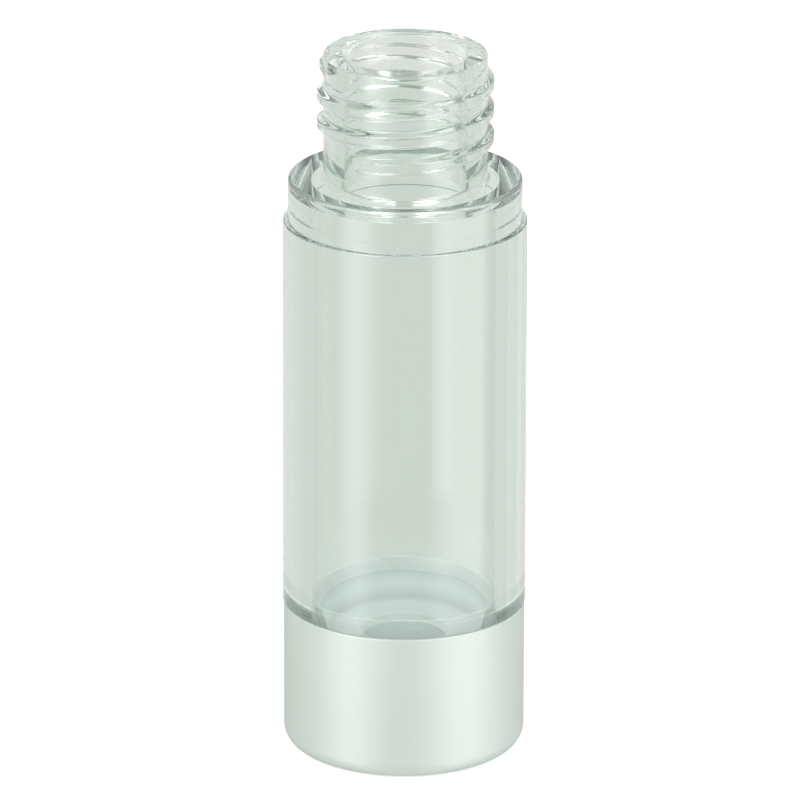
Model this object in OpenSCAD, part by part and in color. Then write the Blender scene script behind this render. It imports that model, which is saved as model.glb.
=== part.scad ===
// Airless bottle, 15 ml: a clear heavy-walled body with a screw neck, a follower
// piston inside it, and a snapped-on base made of a metal sleeve over a plastic liner.
// The axis is Z, the bottle stands on z = 0, and all lengths are in millimetres.

/* [Body] */
// Outer radius of the clear wall just below the shoulder ledge
body_r = 13.75; // [12.5:0.05:20]
// How much the outer radius grows down to the foot of the clear wall
body_draft = 0.08; // [0:0.01:0.3]
// Height of the clear wall from the rim of the base to the ledge
body_h = 45.76; // [36:0.02:90]
// Thickness of the clear wall at the ledge
wall_t = 3.15; // [2.7:0.05:4.5]

/* [Shoulder] */
// Width of the ledge on which a cap comes to rest
ledge_w = 0.55; // [0.3:0.05:1.2]
// Height of the cap seat above the ledge
ring_h = 4.94; // [4:0.02:9]
// Rounding of the upper edge of the cap seat
ring_round = 0.45; // [0.2:0.05:1.5]
// Thickness of the shoulder plate over the chamber
plate_t = 1.8; // [1.4:0.05:3.2]

/* [Neck] */
// Outer radius of the neck between the threads
neck_r = 9.22; // [8.6:0.02:10.5]
// Height of the neck above the shoulder
neck_h = 14.45; // [13.6:0.05:18]
// Thickness of the neck wall
neck_wall = 2.32; // [1.6:0.02:3.2]
// Rounding of the outer edge of the mouth
mouth_round = 0.2; // [0.1:0.05:0.8]
// Rounding of the inner edge of the mouth
lip_round = 0.2; // [0.1:0.05:0.8]
// Hollow rounding where the neck stands on the shoulder
neck_cove = 0.4; // [0.1:0.05:1]

/* [Thread] */
// Rise of the thread in one turn
pitch = 3.175; // [2.8:0.005:3.4]
// Number of turns
turns = 2.9; // [1:0.05:3]
// Height of the middle of the ridge above the shoulder, where the thread starts
thread_start = 3.65; // [2.2:0.05:3.9]
// Direction in which the thread starts, from +X towards +Y
thread_angle = 228; // [0:1:360]
// Depth of the thread from crest to root
thread_d = 0.75; // [0.4:0.01:1]
// Width of the ridge at its root
thread_w = 2.1; // [1.4:0.05:2.5]
// Width of the flat on top of the ridge
crest_w = 0.7; // [0.3:0.05:1]
// Angle over which each end of the ridge fades away
fade_angle = 30; // [10:1:60]

/* [Piston] */
// Height of the piston
piston_h = 17.03; // [15:0.01:22]
// Radial running gap between the piston's two lips and the chamber
piston_gap = 0.05; // [0.02:0.01:0.1]
// Height of the land on which each lip rubs
lip_land = 2.4; // [0.4:0.05:3]
// Width of the top of the upper lip
lip_edge = 0.2; // [0.1:0.01:0.5]
// Width of the slope inside the upper lip
lip_slope_w = 0.93; // [0.5:0.01:1.5]
// Height of the slope inside the upper lip
lip_slope_h = 1.45; // [1:0.01:2.5]
// Depth of the dish below that slope
dish_d = 3.3; // [2:0.01:4.5]
// How much the dish narrows from its rim to its floor
dish_draft = 0.82; // [0.3:0.01:1.5]
// Radius of the recess in the middle of the dish
recess_r = 4.9; // [3:0.05:6]
// Depth of that recess
recess_d = 1.1; // [0.5:0.01:2]
// Depth of the waist between the two lips
waist_d = 0.65; // [0.4:0.01:0.8]
// Thickness of the piston's floor and skirt
piston_wall = 1; // [0.7:0.05:1.3]

/* [Base] */
// Height of the base
base_h = 17.1; // [16:0.05:20]
// How far the clear wall stands out past the base
overhang = 0.1; // [0.05:0.01:0.4]
// Thickness of the metal sleeve
sleeve_wall = 0.4; // [0.3:0.05:0.6]
// Outer rounding of the foot of the sleeve
foot_round = 2; // [1.4:0.05:3]
// Thickness of the liner's wall
liner_wall = 0.6; // [0.5:0.05:0.8]
// Thickness of the liner's floor
liner_floor = 1.2; // [0.8:0.05:1.8]
// Radius of the vent through the floor of the liner
vent_r = 1; // [0.6:0.05:2]
// Glue gap between the sleeve and the liner
glue_gap = 0.02; // [0.01:0.01:0.05]
// Gap between the liner and the spigot of the body
spigot_gap = 0.05; // [0.03:0.01:0.1]
// Gap under the end of the spigot
spigot_lift = 0.8; // [0.5:0.05:2]
// Depth of the snap groove round the spigot
snap_d = 0.3; // [0.15:0.05:0.5]
// Height of the snap groove
snap_h = 1.6; // [1:0.05:2.5]
// Height of the middle of the snap groove above the end of the spigot
snap_z = 5; // [3:0.1:10]

/* [Hidden] */
$fn = 128;
// steps of the thread in one turn, and how deep its ridge is rooted in the neck
thread_steps = 36;
thread_root = 0.4;
// share of the rooted ridge that is left where it has faded away into the neck wall
faded_share = 0.15;
// the bend in the ridge's flank, as a share of its depth and of what its root is wider
bend_depth = 0.85;
bend_width = 0.3;
// flat bottom of the snap groove, as a share of the groove's height
snap_flat = 1 / 3;
// a cutter runs this far past the face that it opens
past = 1;

// heights, from the ground up
liner_z = sleeve_wall + glue_gap;
floor_z = liner_z + liner_floor;
spigot_z = floor_z + spigot_lift;
ledge_z = base_h + body_h;
shoulder_z = ledge_z + ring_h;
ceiling_z = shoulder_z - plate_t;
mouth_z = shoulder_z + neck_h;

// radii, from the outside in
foot_r = body_r + body_draft;
ring_r = body_r - ledge_w;
bore_r = body_r - wall_t;
neck_bore_r = neck_r - neck_wall;
sleeve_r = foot_r - overhang;
liner_r = sleeve_r - sleeve_wall - glue_gap;
liner_bore_r = liner_r - liner_wall;
spigot_r = liner_bore_r - spigot_gap;
// the hole in the sleeve is wider than the vent, so that it never covers it
sleeve_vent_r = vent_r + sleeve_wall;

// piston, from its foot on the liner's floor
piston_r = bore_r - piston_gap;
waist_r = piston_r - waist_d;
skirt_bore_r = waist_r - piston_wall;
dish_rim_r = piston_r - lip_edge - lip_slope_w;
dish_floor_r = dish_rim_r - dish_draft;
dish_rim_z = piston_h - lip_slope_h;
dish_floor_z = dish_rim_z - dish_d;
recess_z = dish_floor_z - recess_d;

// Half outline of an upright cylinder whose upper edge is rounded
module rounded_head(r, h, round) {
    square([r, h - round]);
    square([r - round, h]);
    translate([r - round, h - round]) circle(round);
}

// Half outline of an upright cylinder whose lower edge is rounded
module rounded_foot(r, h, round) {
    translate([0, round]) square([r, h - round]);
    square([r - round, h]);
    translate([r - round, round]) circle(round);
}

// Corner piece that fills the inner corner between a wall and a floor
module cove(round) {
    difference() {
        square(round);
        translate([round, round]) circle(round);
    }
}

// Turned V of the snap, one depth wide and pointing towards the axis
module snap_profile(d, h) {
    flat = h * snap_flat;
    polygon([[0, -h / 2], [0, h / 2], [-d, flat / 2], [-d, -flat / 2]]);
}

// Share of the full thread depth at step i of n, which fades at both ends
function fade(i, n) =
    let (run = fade_angle / 360 * thread_steps, s = min(1, i / run, (n - i) / run))
    s * s * (3 - 2 * s);

// Cross-section of the ridge: radius and height from the middle of the ridge
function ridge_section(share) =
    let (root = neck_r - thread_root,
         crest = root + (thread_root + thread_d) * share,
         flank = root + (crest - root) * bend_depth,
         middle_w = crest_w + (thread_w - crest_w) * bend_width)
    [[root, -thread_w / 2], [flank, -middle_w / 2], [crest, -crest_w / 2],
     [crest, crest_w / 2], [flank, middle_w / 2], [root, thread_w / 2]];

// The ridge winds up the neck as one strip of sections, closed at both ends
module thread_ridge() {
    n = round(turns * thread_steps);
    m = len(ridge_section(1));
    points = [for (i = [0 : n], p = ridge_section(faded_share + (1 - faded_share) * fade(i, n)))
        let (a = thread_angle + i / thread_steps * 360)
        [p[0] * cos(a), p[0] * sin(a), p[1] + i / thread_steps * pitch]];
    sides = [for (i = [0 : n - 1], j = [0 : m - 1])
        let (k = (j + 1) % m, a = i * m + j, b = i * m + k)
        each [[a, b, a + m], [b, b + m, a + m]]];
    start = [for (j = [1 : m - 2]) [0, j + 1, j]];
    end = [for (j = [1 : m - 2]) [n * m, n * m + j, n * m + j + 1]];
    polyhedron(points, concat(sides, start, end), convexity = 6);
}

// Clear body: outer wall, cap seat and neck over a straight chamber. Its spigot
// reaches down inside the base.
module bottle_body() {
    color([0.84, 0.88, 0.85, 0.45]) {
        rotate_extrude() difference() {
            union() {
                polygon([[0, base_h], [foot_r, base_h], [body_r, ledge_z], [0, ledge_z]]);
                translate([0, ledge_z]) rounded_head(ring_r, ring_h, ring_round);
                translate([0, shoulder_z]) rounded_head(neck_r, neck_h, mouth_round);
                translate([neck_r, shoulder_z]) cove(neck_cove);
                translate([0, spigot_z]) square([spigot_r, base_h - spigot_z]);
            }
            translate([0, spigot_z - past]) square([bore_r, ceiling_z - spigot_z + past]);
            translate([0, ceiling_z - past]) square([neck_bore_r, mouth_z - ceiling_z + 2 * past]);
            translate([neck_bore_r, mouth_z]) mirror([0, 1]) cove(lip_round);
            translate([spigot_r, spigot_z + snap_z]) snap_profile(snap_d, snap_h);
        }
        translate([0, 0, shoulder_z + thread_start]) thread_ridge();
    }
}

// Follower piston: a dished top, a lip at each end that wipes the chamber, and a
// hollow skirt that stands on the floor of the liner.
module piston() {
    outline = [
        [0, recess_z], [recess_r, recess_z], [recess_r, dish_floor_z],
        [dish_floor_r, dish_floor_z], [dish_rim_r, dish_rim_z],
        [piston_r - lip_edge, piston_h], [piston_r, piston_h],
        [piston_r, piston_h - lip_land], [waist_r, piston_h - lip_land - 2 * waist_d],
        [waist_r, lip_land + 2 * waist_d], [piston_r, lip_land], [piston_r, 0],
        [skirt_bore_r, 0], [skirt_bore_r, dish_floor_z - piston_wall],
        [recess_r + piston_wall, dish_floor_z - piston_wall],
        [recess_r + piston_wall, recess_z - piston_wall], [0, recess_z - piston_wall]
    ];
    color([0.76, 0.82, 0.83]) translate([0, 0, floor_z]) rotate_extrude() polygon(outline);
}

// Liner of the base: a thin cup with a snap bead inside and a vent in its floor
module base_liner() {
    inner_round = max(foot_round - sleeve_wall - glue_gap, 0.1);
    color([0.90, 0.92, 0.92]) rotate_extrude() difference() {
        translate([0, liner_z]) rounded_foot(liner_r, base_h - glue_gap - liner_z, inner_round);
        difference() {
            translate([0, floor_z]) square([liner_bore_r, base_h - floor_z + past]);
            translate([liner_bore_r, spigot_z + snap_z])
                snap_profile(snap_d, snap_h - 2 * spigot_gap);
        }
        translate([0, liner_z - past]) square([vent_r, liner_floor + 2 * past]);
    }
}

// Sleeve of the base: a drawn metal cup with a rounded foot and a hole in its floor
module base_sleeve() {
    color([0.84, 0.86, 0.85]) rotate_extrude() difference() {
        rounded_foot(sleeve_r, base_h, foot_round);
        translate([0, sleeve_wall])
            rounded_foot(sleeve_r - sleeve_wall, base_h + past, foot_round - sleeve_wall);
        translate([0, -past]) square([sleeve_vent_r, sleeve_wall + 2 * past]);
    }
}

bottle_body();
piston();
base_liner();
base_sleeve();
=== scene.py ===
import math

import bpy
from mathutils import Matrix, Vector


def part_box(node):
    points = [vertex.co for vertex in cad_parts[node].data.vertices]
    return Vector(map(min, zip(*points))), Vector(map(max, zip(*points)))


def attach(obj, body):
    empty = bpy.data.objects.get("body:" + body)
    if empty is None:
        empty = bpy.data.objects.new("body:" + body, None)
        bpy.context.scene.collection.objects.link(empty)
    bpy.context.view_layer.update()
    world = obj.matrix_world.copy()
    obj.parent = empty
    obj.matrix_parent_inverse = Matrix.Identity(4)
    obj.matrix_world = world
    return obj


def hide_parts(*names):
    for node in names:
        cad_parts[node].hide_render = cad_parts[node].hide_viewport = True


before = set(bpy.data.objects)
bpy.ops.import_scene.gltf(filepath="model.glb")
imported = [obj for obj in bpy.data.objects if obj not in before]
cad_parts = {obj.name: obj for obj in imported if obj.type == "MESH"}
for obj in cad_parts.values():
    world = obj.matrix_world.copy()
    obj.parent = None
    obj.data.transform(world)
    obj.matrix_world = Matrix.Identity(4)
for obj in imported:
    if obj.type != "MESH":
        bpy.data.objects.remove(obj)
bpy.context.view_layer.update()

# Clear body: a heavy-walled moulding of clear plastic with a straight chamber, a cap seat
# with its ledge and an open screw neck. Its mould leaves polished faces, small roundings and
# a faint waviness, and its spigot goes down inside the base.
MM = 0.001  # sizes of the bottle are in millimetres, and the scene is in metres
STEPS = 256
WELD = 0.0005 * MM
ON_FACE = 0.01
FOOT_FLARE, WALL, PLATE, NECK_WALL = 0.08, 3.15, 1.8, 2.32
WALL_H, SEAT_H, SEAT_STEP = 45.76, 4.94, 0.55
FOOT_R, MOUTH_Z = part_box("bottle_body")[1][0] / MM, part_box("bottle_body")[1][2] / MM
SPIGOT_R, SPIGOT_Z = 12.66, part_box("bottle_body")[0][2] / MM
RIM_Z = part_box("base_sleeve")[1][2] / MM
WALL_R = FOOT_R - FOOT_FLARE
CHAMBER_R = WALL_R - WALL
GROOVE_Z, GROOVE_H, GROOVE_D = SPIGOT_Z + 5, 1.6, 0.3
LEDGE_Z = RIM_Z + WALL_H
SEAT_R = WALL_R - SEAT_STEP
SHOULDER_Z = LEDGE_Z + SEAT_H
CEILING_Z = SHOULDER_Z - PLATE
NECK_R = 9.22
NECK_BORE_R = NECK_R - NECK_WALL
PITCH, TURNS = 3.175, 2.9
THREAD_D, THREAD_W, CREST_W = 0.75, 2.1, 0.7
THREAD_Z = SHOULDER_Z + 3.65
THREAD_START = math.radians(228)
FADE = math.radians(30)
RING_STEP = 0.1


def rounded(corners, step=18):
    """Points of an outline. A corner is (radius, height, rounding), all in millimetres."""
    points = []
    for i, (r, z, rounding) in enumerate(corners):
        here = Vector((r, z))
        if rounding == 0:
            points.append(here)
            continue
        before = (Vector(corners[i - 1][:2]) - here).normalized()
        after = (Vector(corners[(i + 1) % len(corners)][:2]) - here).normalized()
        turn = math.pi - before.angle(after)
        reach = rounding * math.tan(turn / 2)
        middle = here + (before + after).normalized() * rounding / math.cos(turn / 2)
        start, end = here + before * reach - middle, here + after * reach - middle
        n = max(2, math.ceil(math.degrees(turn) / step))
        for k in range(n + 1):
            points.append(middle + start.slerp(end, k / n).normalized() * rounding)
    return points


def turned(name, outline, closed=True):
    """Extrudes a point along an outline and spins it round the bottle's axis."""
    bpy.ops.object.select_all(action="DESELECT")
    first = outline[0] * MM
    bpy.ops.mesh.primitive_plane_add(size=MM, location=(first[0], 0, first[1]))
    made = bpy.context.object
    made.name = name
    bpy.ops.object.transform_apply(location=True)
    bpy.ops.object.mode_set(mode="EDIT")
    bpy.ops.mesh.merge(type="CENTER")
    ends = outline[1:] + outline[:1] if closed else outline[1:]
    for here, there in zip(outline, ends):
        step = (there - here) * MM
        bpy.ops.mesh.extrude_region_move(TRANSFORM_OT_translate={"value": (step[0], 0, step[1])})
    bpy.ops.mesh.select_all(action="SELECT")
    bpy.ops.mesh.remove_doubles(threshold=WELD)
    bpy.ops.mesh.spin(steps=STEPS, angle=math.tau, center=(0, 0, 0), axis=(0, 0, 1))
    bpy.ops.mesh.select_all(action="SELECT")
    bpy.ops.mesh.remove_doubles(threshold=WELD)
    bpy.ops.mesh.normals_make_consistent(inside=False)
    bpy.ops.object.mode_set(mode="OBJECT")
    bpy.ops.object.shade_smooth()
    return made


def apply(piece, kind, **settings):
    """Adds a modifier and applies it."""
    modifier = piece.modifiers.new(kind, kind)
    for name, value in settings.items():
        setattr(modifier, name, value)
    bpy.context.view_layer.objects.active = piece
    bpy.ops.object.modifier_apply(modifier=modifier.name)


outside = rounded([
    (SPIGOT_R, SPIGOT_Z, 0.3), (SPIGOT_R, GROOVE_Z - GROOVE_H / 2, 0),
    (SPIGOT_R - GROOVE_D, GROOVE_Z - GROOVE_H / 6, 0),
    (SPIGOT_R - GROOVE_D, GROOVE_Z + GROOVE_H / 6, 0), (SPIGOT_R, GROOVE_Z + GROOVE_H / 2, 0),
    (SPIGOT_R, RIM_Z, 0.1), (FOOT_R, RIM_Z, 0.15), (WALL_R, LEDGE_Z, 0.2), (SEAT_R, LEDGE_Z, 0.1),
    (SEAT_R, SHOULDER_Z, 0.45), (NECK_R, SHOULDER_Z, 0.4), (NECK_R, MOUTH_Z, 0),
])[:-1]
inside = rounded([
    (NECK_R, SHOULDER_Z, 0), (NECK_R, MOUTH_Z, 0.2), (NECK_BORE_R, MOUTH_Z, 0.2),
    (NECK_BORE_R, CEILING_Z, 0.2), (CHAMBER_R, CEILING_Z, 0.06), (CHAMBER_R, SPIGOT_Z, 0.3),
    (SPIGOT_R, SPIGOT_Z, 0),
])[1:-1]
# close rings of points in the neck's wall, from which the thread rises
band = [THREAD_Z - THREAD_W / 2, THREAD_Z + TURNS * PITCH + THREAD_W / 2]
count = round((band[1] - band[0]) / RING_STEP)
rings = [Vector((NECK_R, band[0] + k / count * (band[1] - band[0]))) for k in range(count + 1)]
body = turned("clear_body", outside + rings + inside)

# the thread rises out of the neck where the helix passes, and its flanks and ends are eased
thread = body.vertex_groups.new(name="thread")
for vertex in body.data.vertices:
    x, y, z = vertex.co / MM
    if abs(math.hypot(x, y) - NECK_R) > ON_FACE or not band[0] <= z <= band[1]:
        continue
    angle = (math.atan2(y, x) - THREAD_START) % math.tau
    turn = round((z - THREAD_Z) / PITCH - angle / math.tau)
    run = angle + turn * math.tau
    off = abs(z - THREAD_Z - run / math.tau * PITCH)
    flank = (THREAD_W / 2 - off) / ((THREAD_W - CREST_W) / 2)
    ends = min(run, TURNS * math.tau - run) / FADE
    share = 1
    for s in (flank, ends):
        s = min(max(s, 0), 1)
        share *= s * s * (3 - 2 * s)
    if share > 0:
        thread.add([vertex.index], share, "REPLACE")
apply(body, "DISPLACE", vertex_group="thread", strength=THREAD_D * MM, mid_level=0)
apply(body, "WEIGHTED_NORMAL", keep_sharp=False)


def add(tree, kind, **values):
    """Adds a shader node. Values are its own settings, or its inputs by name."""
    made = tree.nodes.new(kind)
    for name, value in values.items():
        if hasattr(made, name):
            setattr(made, name, value)
        else:
            made.inputs[name.replace("_", " ")].default_value = value
    return made


def mix(tree, factor, first, second):
    """Adds a mix of two shaders. Where the factor is 1 it gives the second."""
    made = add(tree, "ShaderNodeMixShader")
    for source, socket in zip((factor, first, second), made.inputs):
        tree.links.new(source, socket)
    return made.outputs[0]


def surface_grain():
    """A group for moulded and blasted faces: soft patches of colour and gloss, and a grain."""
    tree = bpy.data.node_groups.new("surface_grain", "ShaderNodeTree")
    for name, kind in (
        ("Colour", "NodeSocketColor"), ("Patches", "NodeSocketFloat"),
        ("Patch Scale", "NodeSocketFloat"), ("Roughness", "NodeSocketFloat"),
        ("Grain Scale", "NodeSocketFloat"),
    ):
        tree.interface.new_socket(name, in_out="INPUT", socket_type=kind)
    for name, kind in (
        ("Colour", "NodeSocketColor"), ("Roughness", "NodeSocketFloat"),
        ("Height", "NodeSocketFloat"),
    ):
        tree.interface.new_socket(name, in_out="OUTPUT", socket_type=kind)
    given = add(tree, "NodeGroupInput")
    put = add(tree, "NodeGroupOutput")
    place = add(tree, "ShaderNodeTexCoord")
    patches = add(tree, "ShaderNodeTexNoise", Detail=3)
    grain = add(tree, "ShaderNodeTexNoise", Detail=2)
    tree.links.new(place.outputs["Object"], patches.inputs["Vector"])
    tree.links.new(place.outputs["Object"], grain.inputs["Vector"])
    tree.links.new(given.outputs["Patch Scale"], patches.inputs["Scale"])
    tree.links.new(given.outputs["Grain Scale"], grain.inputs["Scale"])
    centred = add(tree, "ShaderNodeMath", operation="SUBTRACT")
    centred.inputs[1].default_value = 0.5
    tree.links.new(patches.outputs["Fac"], centred.inputs[0])
    factor = add(tree, "ShaderNodeMath", operation="MULTIPLY_ADD")
    factor.inputs[2].default_value = 1
    tree.links.new(centred.outputs[0], factor.inputs[0])
    tree.links.new(given.outputs["Patches"], factor.inputs[1])
    shaded = add(tree, "ShaderNodeVectorMath", operation="SCALE")
    tree.links.new(given.outputs["Colour"], shaded.inputs[0])
    tree.links.new(factor.outputs[0], shaded.inputs["Scale"])
    tree.links.new(shaded.outputs[0], put.inputs["Colour"])
    gloss = add(tree, "ShaderNodeMath", operation="MULTIPLY")
    tree.links.new(given.outputs["Roughness"], gloss.inputs[0])
    tree.links.new(factor.outputs[0], gloss.inputs[1])
    tree.links.new(gloss.outputs[0], put.inputs["Roughness"])
    tree.links.new(grain.outputs["Fac"], put.inputs["Height"])
    return tree


GRAIN = surface_grain()


def finish(name, colour, roughness, patches, patch_mm, grain_mm, grain_height, **plain):
    """A material of its own with the grain group on it. Plain values go on the shader."""
    made = bpy.data.materials.new(name)
    made.use_nodes = True
    tree = made.node_tree
    shader = tree.nodes["Principled BSDF"]
    for key, value in plain.items():
        shader.inputs[key.replace("_", " ")].default_value = value
    grain = add(tree, "ShaderNodeGroup", node_tree=GRAIN)
    for key, value in (
        ("Colour", (*colour, 1)), ("Roughness", roughness), ("Patches", patches),
        ("Patch Scale", 1 / (patch_mm * MM)), ("Grain Scale", 1 / (grain_mm * MM)),
    ):
        grain.inputs[key].default_value = value
    bump = add(tree, "ShaderNodeBump", Distance=grain_height * MM)
    tree.links.new(grain.outputs["Height"], bump.inputs["Height"])
    tree.links.new(grain.outputs["Colour"], shader.inputs["Base Color"])
    if roughness > 0:
        tree.links.new(grain.outputs["Roughness"], shader.inputs["Roughness"])
    else:
        shader.inputs["Roughness"].default_value = 0
    tree.links.new(bump.outputs[0], shader.inputs["Normal"])
    return made


CLEAR_IOR, PLASTIC_IOR = 1.57, 1.5
LIGHT_THROUGH = (0.9, 0.93, 0.9, 1)


def clear_plastic(name, tint):
    """Clear plastic that lets the lamps' light straight through, without bending it."""
    made = finish(
        name, tint, roughness=0, patches=0.02, patch_mm=6, grain_mm=5, grain_height=0.002,
        IOR=CLEAR_IOR, Transmission_Weight=1)
    tree = made.node_tree
    plastic = tree.nodes["Principled BSDF"]
    passed = add(tree, "ShaderNodeBsdfTransparent", Color=LIGHT_THROUGH)
    path = add(tree, "ShaderNodeLightPath")
    either = mix(tree, path.outputs["Is Shadow Ray"], plastic.outputs[0], passed.outputs[0])
    tree.links.new(either, tree.nodes["Material Output"].inputs["Surface"])
    return made


FROST = {"patches": 0.05, "patch_mm": 3, "grain_mm": 0.1, "grain_height": 0.004}
for made in (
    clear_plastic("clear_outside", (0.81, 0.91, 0.82)),
    clear_plastic("clear_inside", (1, 1, 1)),
    # painted shade and painted light: the step and the spigot are one frosted face, the step
    # painted darker and the spigot painted lighter, so that they look alike although the lamps
    # reach them differently
    finish("frosted_step_painted_shade", (0.285, 0.32, 0.32), roughness=0.6, **FROST, IOR=PLASTIC_IOR),
    finish("frosted_spigot_painted_light", (0.42, 0.475, 0.47), roughness=0.6, **FROST, IOR=PLASTIC_IOR),
    # painted glint: a near-white ring on the outer corner just above the sleeve's rim, painted on
    # for a bright line of light there
    finish("corner_painted_glint", (0.95, 0.97, 0.95), roughness=0.3, **FROST, IOR=PLASTIC_IOR),
):
    body.data.materials.append(made)
CLEAR_INSIDE, FROSTED_STEP, FROSTED_SPIGOT, CORNER_PAINTED_GLINT = 1, 2, 3, 4
MARGIN, GLINT_RING_H, GLINT_RING_W = 0.1, 0.13, 0.14
for face in body.data.polygons:
    x, y, z = face.center / MM
    out = math.hypot(x, y)
    inner = NECK_BORE_R + NECK_WALL / 2 if z > CEILING_Z + MARGIN else CHAMBER_R + MARGIN
    if out < inner and z < MOUTH_Z - MARGIN:
        face.material_index = CLEAR_INSIDE
    # the outer corner over the rim takes the painted glint
    elif z < RIM_Z + GLINT_RING_H and out > FOOT_R - GLINT_RING_W:
        face.material_index = CORNER_PAINTED_GLINT
    # the frosted step takes painted shade and the frosted spigot painted light
    elif z < RIM_Z + ON_FACE:
        face.material_index = FROSTED_STEP if out > SPIGOT_R + MARGIN / 2 else FROSTED_SPIGOT
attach(body, "bottle")
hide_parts("bottle_body")


# Follower piston: a soft, slightly see-through moulding of bluish natural plastic. It has a
# dished top with a recess in the middle, a lip at each end that wipes the chamber, and a
# hollow skirt, and it is pushed in from below before the base goes on.
PISTON_R, PISTON_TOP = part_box("piston")[1][0] / MM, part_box("piston")[1][2] / MM
PISTON_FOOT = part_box("piston")[0][2] / MM
LIP_LAND, LIP_EDGE = 2.4, 0.2
SLOPE_W, SLOPE_H = 0.93, 1.45
DISH_D, DISH_DRAFT = 3.3, 0.82
RECESS_R, RECESS_D = 4.9, 1.1
WAIST_D, PISTON_WALL = 0.65, 1
lip_r = PISTON_R - LIP_EDGE
dish_r, dish_z = lip_r - SLOPE_W, PISTON_TOP - SLOPE_H
floor_z = dish_z - DISH_D
recess_z = floor_z - RECESS_D
waist_r, waist_h = PISTON_R - WAIST_D, LIP_LAND + 2 * WAIST_D
skirt_r = waist_r - PISTON_WALL
under_r = RECESS_R + PISTON_WALL
piston = turned("follower_piston", rounded([
    (0, recess_z, 0), (RECESS_R, recess_z, 0.15), (RECESS_R, floor_z, 0.2),
    (dish_r - DISH_DRAFT, floor_z, 0.5), (dish_r, dish_z, 0.12), (lip_r, PISTON_TOP, 0.05),
    (PISTON_R, PISTON_TOP, 0.08), (PISTON_R, PISTON_TOP - LIP_LAND, 0.2),
    (waist_r, PISTON_TOP - waist_h, 0.4), (waist_r, PISTON_FOOT + waist_h, 0.4),
    (PISTON_R, PISTON_FOOT + LIP_LAND, 0.2), (PISTON_R, PISTON_FOOT, 0.08),
    (skirt_r, PISTON_FOOT, 0.1), (skirt_r, floor_z - PISTON_WALL, 0.3),
    (under_r, floor_z - PISTON_WALL, 0.2), (under_r, recess_z - PISTON_WALL, 0.3),
    (0, recess_z - PISTON_WALL, 0),
]), closed=False)


def multiply_colour(made, factor):
    """Multiplies a material's colour by what another node gives."""
    tree = made.node_tree
    socket = tree.nodes["Principled BSDF"].inputs["Base Color"]
    product = add(tree, "ShaderNodeVectorMath", operation="MULTIPLY")
    tree.links.new(socket.links[0].from_socket, product.inputs[0])
    tree.links.new(factor, product.inputs[1])
    tree.links.new(product.outputs[0], socket)


SOLID, SEEN_BEHIND = 0.95, 0.15


def natural_plastic(name, colour, front, pale=0):
    """Natural plastic with a painted sheen, paler at a glance, that hides less when seen from
    behind.
    """
    made = finish(
        name, colour, roughness=0.4, patches=0.06, patch_mm=2.5, grain_mm=0.15,
        grain_height=0.002, IOR=PLASTIC_IOR)
    tree = made.node_tree
    side = add(tree, "ShaderNodeNewGeometry")
    alpha = add(tree, "ShaderNodeMapRange", To_Min=front, To_Max=SEEN_BEHIND)
    tree.links.new(side.outputs["Backfacing"], alpha.inputs["Value"])
    tree.links.new(alpha.outputs[0], tree.nodes["Principled BSDF"].inputs["Alpha"])
    # painted sheen: the colour is raised where the face is seen at a glance
    glance = add(tree, "ShaderNodeLayerWeight", Blend=0.5)
    factor = add(tree, "ShaderNodeMapRange", To_Min=1, To_Max=1 + pale)
    tree.links.new(glance.outputs["Facing"], factor.inputs["Value"])
    multiply_colour(made, factor.outputs[0])
    return made


def add_ramp(tree, factor, levels, blend="LINEAR"):
    """Adds a colour ramp. A level is (position from 0 to 1, colour)."""
    ramp = add(tree, "ShaderNodeValToRGB")
    ramp.color_ramp.interpolation = blend
    stops = ramp.color_ramp.elements
    while len(stops) < len(levels):
        stops.new(0.5)
    for stop, (position, colour) in zip(stops, levels):
        stop.position = position
        stop.color = (*colour, 1)
    tree.links.new(factor, ramp.inputs[0])
    return ramp.outputs[0]


def shade_by_height(made, bottom, top, tones):
    """Multiplies a material's colour by painted shade and highlight that follow the height inside
    the piece.
    """
    tree = made.node_tree
    place = add(tree, "ShaderNodeTexCoord")
    height = add(tree, "ShaderNodeSeparateXYZ")
    tree.links.new(place.outputs["Object"], height.inputs[0])
    share = add(tree, "ShaderNodeMapRange", From_Min=bottom * MM, From_Max=top * MM)
    tree.links.new(height.outputs["Z"], share.inputs["Value"])
    levels = [(position, (tone, tone, tone)) for position, tone in tones]
    multiply_colour(made, add_ramp(tree, share.outputs[0], levels, blend="EASE"))
    return made


# painted shade and highlight on the dish: darker on its floor and at the foot of its wall, lighter
# halfway up the wall
DISH_SHADE_AND_HIGHLIGHT = ((0, 0.89), (0.03, 0.85), (0.6, 1.1), (1, 0.97))
# the dish is painted paler at a glance, a painted sheen
dish = natural_plastic("piston_dish", (0.47, 0.495, 0.515), SOLID, pale=0.25)
for made in (
    natural_plastic("piston_skin", (0.72, 0.75, 0.76), 0.3),
    shade_by_height(dish, floor_z, dish_z, DISH_SHADE_AND_HIGHLIGHT),
    # painted shade: a darker colour for the recess floor, also drawn as a thin dark line at the
    # crease where the slope meets the dish
    natural_plastic("piston_recess_painted_shade", (0.275, 0.30, 0.32), SOLID),
    # painted light: the slope is painted much paler at a glance, for the light that reaches its
    # sides
    natural_plastic("piston_slope", (0.405, 0.425, 0.44), SOLID, pale=0.58),
    natural_plastic("piston_inside", (0.62, 0.65, 0.66), SOLID),
    # painted glint: a lighter colour along the top rim of the lip, for a bright line of light there
    natural_plastic("piston_rim_painted_glint", (0.62, 0.65, 0.65), 0.4),
):
    piston.data.materials.append(made)
DISH, RECESS, SLOPE, HIDDEN, EDGE = 1, 2, 3, 4, 5
CREASE_SHADE_H, RIM_GLINT_W = 0.06, 0.04
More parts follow.
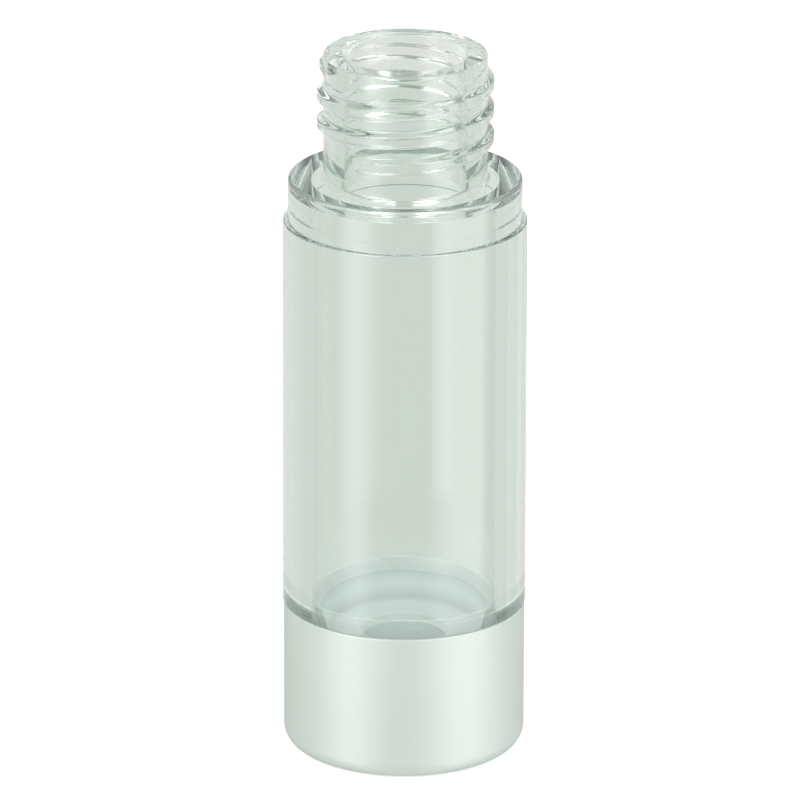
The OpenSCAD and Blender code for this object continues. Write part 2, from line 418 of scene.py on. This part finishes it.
for face in piston.data.polygons:
    x, y, z = face.center / MM
    out = math.hypot(x, y)
    # the recess floor and a thin ring at the crease take the painted shade
    if abs(z - recess_z) < MARGIN / 2 and out < RECESS_R - MARGIN / 2:
        face.material_index = RECESS
    elif abs(z - dish_z) < CREASE_SHADE_H and abs(out - dish_r) < MARGIN:
        face.material_index = RECESS
    elif z < floor_z - MARGIN and out < waist_r - MARGIN:
        face.material_index = HIDDEN
    elif out < waist_r - MARGIN:
        face.material_index = DISH
    # the top rim of the lip takes the painted glint
    elif z > PISTON_TOP - MARGIN and out > lip_r - RIM_GLINT_W:
        face.material_index = EDGE
    elif z > dish_z and out < lip_r:
        face.material_index = SLOPE
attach(piston, "piston")
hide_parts("piston")


# Liner of the base: a thin white moulded cup inside the metal sleeve. A bead round its wall
# snaps into the groove of the spigot, and the vent in its floor lets air in under the piston.
LINER_R, LINER_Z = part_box("base_liner")[1][0] / MM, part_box("base_liner")[0][2] / MM
LINER_WALL, VENT_R = 0.6, 1
TOP_GAP, GLUE_GAP, BEAD_GAP = 0.04, 0.02, 0.05
SLEEVE_WALL, FOOT_ROUND = 0.4, 2
bore_r, liner_top = LINER_R - LINER_WALL, RIM_Z - TOP_GAP
bead_r = bore_r - GROOVE_D
liner = turned("base_cup", rounded([
    (VENT_R, LINER_Z, 0.1), (LINER_R, LINER_Z, FOOT_ROUND - SLEEVE_WALL - GLUE_GAP),
    (LINER_R, liner_top, 0.1), (bore_r, liner_top, 0.1),
    (bore_r, GROOVE_Z + GROOVE_H / 2 - BEAD_GAP, 0), (bead_r, GROOVE_Z + GROOVE_H / 6, 0),
    (bead_r, GROOVE_Z - GROOVE_H / 6, 0), (bore_r, GROOVE_Z - GROOVE_H / 2 + BEAD_GAP, 0),
    (bore_r, PISTON_FOOT, 0.2), (VENT_R, PISTON_FOOT, 0.1),
]))
liner.data.materials.append(finish(
    "white_plastic", (0.80, 0.84, 0.84), roughness=0.45, patches=0.05, patch_mm=3, grain_mm=0.2,
    grain_height=0.003, IOR=PLASTIC_IOR))
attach(liner, "bottle")
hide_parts("base_liner")


# Sleeve of the base: a cup drawn from thin aluminium sheet, bead-blasted to a fine matte
# grain and clear anodised. Its foot is rounded, and it is glued over the liner.
SLEEVE_R, HOLE_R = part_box("base_sleeve")[1][0] / MM, 1.4
sleeve_bore_r, sleeve_top = SLEEVE_R - SLEEVE_WALL, RIM_Z - TOP_GAP / 2
sleeve = turned("metal_sleeve", rounded([
    (HOLE_R, 0, 0.08), (SLEEVE_R, 0, FOOT_ROUND), (SLEEVE_R, sleeve_top, 0.12),
    (sleeve_bore_r, sleeve_top, 0.08), (sleeve_bore_r, SLEEVE_WALL, FOOT_ROUND - SLEEVE_WALL),
    (HOLE_R, SLEEVE_WALL, 0.08),
], step=6))
sleeve.data.materials.append(finish(
    "matte_aluminium", (0.86, 0.94, 0.87), roughness=0.56, patches=0.03, patch_mm=4,
    grain_mm=0.06, grain_height=0.002, Metallic=0.85, Specular_Tint=(0.3, 0.33, 0.3, 1)))
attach(sleeve, "bottle")
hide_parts("base_sleeve")


# Studio: a pale room that is open behind the camera, between two tall lit panels. Polished
# and clear surfaces see the room by direction, and all else gets plain soft light from it.
BACKDROP = (0.8, 0.8, 0.8)
BACK_DIM = (0.75, 0.75, 0.75)
BACK_BRIGHT = (0.87, 0.87, 0.87)
BACK_LEFT = (0.76, 0.76, 0.76)
SIDE_LEFT = (0.52, 0.54, 0.52)
SIDE_RIGHT = (0.4, 0.42, 0.4)
PANEL_LEFT = (1.37, 1.34, 1.42)
PANEL_RIGHT = (1.05, 1.02, 1.08)
OPEN_SIDE = (0.4, 0.42, 0.4)
ROOM = (
    (-180, BACKDROP), (-155, BACKDROP), (-142, BACK_LEFT), (-116, BACK_LEFT), (-112, SIDE_LEFT),
    (-72, SIDE_LEFT), (-58, PANEL_LEFT), (-44, PANEL_LEFT), (-31, OPEN_SIDE), (23, OPEN_SIDE),
    (40, PANEL_RIGHT), (86, PANEL_RIGHT), (98, SIDE_RIGHT), (112, SIDE_RIGHT), (116, BACKDROP),
    (142, BACKDROP), (156, BACK_DIM), (163, BACK_BRIGHT), (172, BACK_BRIGHT),
    (176, BACKDROP), (180, BACKDROP),
)
ROOM_LIGHT, WHITE = 0.62, (1, 1, 1, 1)
BOUNCES = 32
scene = bpy.context.scene
scene.view_settings.view_transform = "Standard"
scene.cycles.max_bounces = BOUNCES
scene.cycles.glossy_bounces = BOUNCES
scene.cycles.transmission_bounces = BOUNCES
scene.world = bpy.data.worlds.new("studio")
scene.world.use_nodes = True
tree = scene.world.node_tree
tree.nodes.clear()
direction = add(tree, "ShaderNodeTexCoord")
parts = add(tree, "ShaderNodeSeparateXYZ")
tree.links.new(direction.outputs["Generated"], parts.inputs[0])
forward = add(tree, "ShaderNodeMath", operation="MULTIPLY")
forward.inputs[1].default_value = -1
tree.links.new(parts.outputs["Y"], forward.inputs[0])
azimuth = add(tree, "ShaderNodeMath", operation="ARCTAN2")
tree.links.new(parts.outputs["X"], azimuth.inputs[0])
tree.links.new(forward.outputs[0], azimuth.inputs[1])
share = add(tree, "ShaderNodeMapRange", From_Min=-math.pi, From_Max=math.pi)
tree.links.new(azimuth.outputs[0], share.inputs["Value"])
levels = [((angle + 180) / 360, level) for angle, level in ROOM]
path = add(tree, "ShaderNodeLightPath")
mirrored = add(tree, "ShaderNodeMath", operation="MAXIMUM")
tree.links.new(path.outputs["Is Glossy Ray"], mirrored.inputs[0])
tree.links.new(path.outputs["Is Transmission Ray"], mirrored.inputs[1])
seen = add(tree, "ShaderNodeBackground")
tree.links.new(add_ramp(tree, share.outputs[0], levels), seen.inputs["Color"])
plain = add(tree, "ShaderNodeBackground", Color=WHITE, Strength=ROOM_LIGHT)
white = add(tree, "ShaderNodeBackground", Color=WHITE)
indirect = mix(tree, mirrored.outputs[0], plain.outputs[0], seen.outputs[0])
whole = mix(tree, path.outputs["Is Camera Ray"], indirect, white.outputs[0])
room = add(tree, "ShaderNodeOutputWorld")
tree.links.new(whole, room.inputs["Surface"])

# two soft lamps that face the bottle, placed in metres
LAMP_Y, LAMP_Z, LAMP_W = -0.4, 0.55, 3
for name, x, size in (("softbox_left", -0.42, 0.45), ("softbox_right", 0.46, 0.55)):
    lamp_data = bpy.data.lights.new(name, "AREA")
    lamp_data.size = size
    lamp_data.energy = LAMP_W
    lamp = bpy.data.objects.new(name, lamp_data)
    scene.collection.objects.link(lamp)
    spot = Vector((x, LAMP_Y, LAMP_Z))
    lamp.matrix_world = Matrix.Translation(spot) @ spot.to_track_quat("Z", "Y").to_matrix().to_4x4()
    lamp.visible_camera = False


# Floor: a wide sheet of white paper that takes the bottle's soft shadow. Clear plastic and
# mirrors look past it to the room.
FLOOR_W = 6
PAPER, GLOW = (0.8, 0.8, 0.8, 1), 0.45
bpy.ops.object.select_all(action="DESELECT")
bpy.ops.mesh.primitive_plane_add(size=FLOOR_W, location=(0, 0, 0))
floor = bpy.context.object
floor.name = "floor"
floor.visible_glossy = False
floor.visible_transmission = False
paper = bpy.data.materials.new("white_paper")
paper.use_nodes = True
tree = paper.node_tree
tree.nodes.clear()
lit = add(tree, "ShaderNodeBsdfDiffuse", Color=PAPER)
glow = add(tree, "ShaderNodeEmission", Color=WHITE, Strength=GLOW)
path = add(tree, "ShaderNodeLightPath")
both = add(tree, "ShaderNodeAddShader")
tree.links.new(lit.outputs[0], both.inputs[0])
tree.links.new(glow.outputs[0], both.inputs[1])
surface = mix(tree, path.outputs["Is Camera Ray"], lit.outputs[0], both.outputs[0])
output = add(tree, "ShaderNodeOutputMaterial")
tree.links.new(surface, output.inputs["Surface"])
floor.data.materials.append(paper)


# View: a long lens about a metre away that looks a little down on the bottle from the front,
# -Y. The focal length is given in pixels of the 800-pixel picture.
PICTURE_PX, FOCAL_PX, SENSOR_W = 800, 9709, 36
VIEW_DISTANCE = 1100 * MM
VIEW_DOWN = math.radians(19.716)
VIEW_ROLL = math.radians(0.157)
VIEW_TARGET = Vector((-0.531, 0, 40.99)) * MM
camera_data = bpy.data.cameras.new("camera")
camera_data.sensor_width = SENSOR_W
camera_data.lens = FOCAL_PX / PICTURE_PX * SENSOR_W
camera = bpy.data.objects.new("camera", camera_data)
scene.collection.objects.link(camera)
look = Matrix.Rotation(math.radians(90) - VIEW_DOWN, 4, "X") @ Matrix.Rotation(VIEW_ROLL, 4, "Z")
back = Vector((0, -math.cos(VIEW_DOWN), math.sin(VIEW_DOWN)))
camera.matrix_world = Matrix.Translation(VIEW_TARGET + back * VIEW_DISTANCE) @ look
scene.camera = camera
